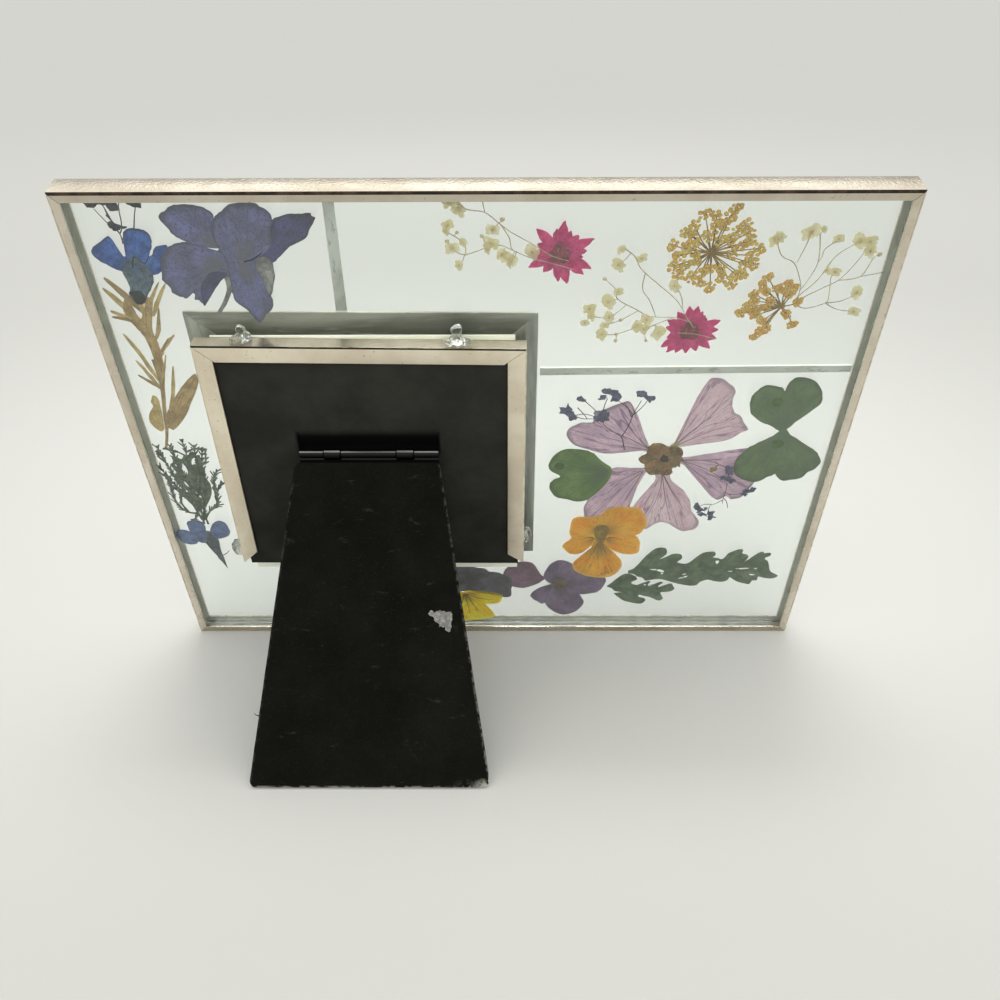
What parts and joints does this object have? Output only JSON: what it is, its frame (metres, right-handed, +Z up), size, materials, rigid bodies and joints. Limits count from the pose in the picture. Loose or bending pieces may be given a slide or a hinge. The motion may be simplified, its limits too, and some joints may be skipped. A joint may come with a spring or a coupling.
{
  "type": "pressed flower frame",
  "caption": "Standing metal double-glass frame with pressed flowers sealed between the panes and a small open-bottomed photo frame with a hinged easel leg behind.",
  "frame": {"origin": "centre of the bounding box's base, on the surface that the frame stands on", "axes": "+Z up; the front of the frame faces -Y and the easel leg stands out to +Y; +X is to the right of a viewer at the front"},
  "size_m": [0.254, 0.099, 0.1994],
  "materials": {
    "outer_metal": "warm nickel colour, satin with a hammered edge",
    "pane_glass": "clear, polished",
    "lead_strip": "mottled dull grey",
    "photo_metal": "warm champagne satin",
    "pale_card": "matte",
    "black_board": "matte fibrous",
    "hinge_metal": "gloss black",
    "clear_glue": "clear, glossy",
    "slate_petal": "dry pressed, matte",
    "blue_petal": "dry pressed, matte",
    "violet_petal": "dry pressed, matte",
    "straw_stalk": "dry pressed, matte",
    "green_leaf": "dry pressed, matte",
    "cream_bud": "dry pressed, matte",
    "magenta_petal": "dry pressed, matte",
    "gold_umbel": "dry pressed, matte",
    "mallow_petal": "dry pressed, matte",
    "orange_petal": "dry pressed, matte",
    "dark_yellow_petal": "dry pressed, matte"
  },
  "bodies": {
    "frame": {"outer_rail_top": "outer_metal", "outer_rail_bottom": "outer_metal", "outer_rail_left": "outer_metal", "outer_rail_right": "outer_metal", "front_pane": "pane_glass", "back_pane": "pane_glass", "divider_vertical": "lead_strip", "divider_horizontal": "lead_strip", "window_strip_left": "lead_strip", "window_strip_top": "lead_strip", "window_strip_right": "lead_strip", "photo_rail_left": "photo_metal", "photo_rail_top": "photo_metal", "photo_rail_right": "photo_metal", "insert_card": "pale_card", "backing_board": "black_board", "hinge_leaf_board": "hinge_metal", "hinge_pin": "hinge_metal", "glue_bead_top_left": "clear_glue", "glue_bead_top_right": "clear_glue", "glue_bead_low_left": "clear_glue", "glue_bead_low_right": "clear_glue", "bud_sprig": "slate_petal", "lobelia_bloom": "blue_petal", "delphinium_bloom": "violet_petal", "small_blue_bloom": "violet_petal", "dried_stalk": "straw_stalk", "ferny_foliage": "green_leaf", "gypsophila_a": "cream_bud", "gypsophila_b": "cream_bud", "gypsophila_c": "cream_bud", "daisy_upper": "magenta_petal", "daisy_lower": "magenta_petal", "umbel_round": "gold_umbel", "umbel_fan": "gold_umbel", "mallow_bloom": "mallow_petal", "heart_leaf_single": "green_leaf", "heart_leaf_pair": "green_leaf", "floret_sprig": "slate_petal", "dark_florets": "slate_petal", "viola_orange": "orange_petal", "viola_purple": "mallow_petal", "viola_dark_yellow": "dark_yellow_petal", "green_frond": "green_leaf"},
    "leg": {"easel_leg": "black_board", "hinge_leaf_leg": "hinge_metal"}
  },
  "joints": [
    {"name": "leg_hinge", "type": "hinge", "parent": "frame", "child": "leg", "pos_m": [0.04195, -0.007, 0.10429], "axis": [1, 0, 0], "range_deg": [-41.85, 0]}
  ]
}
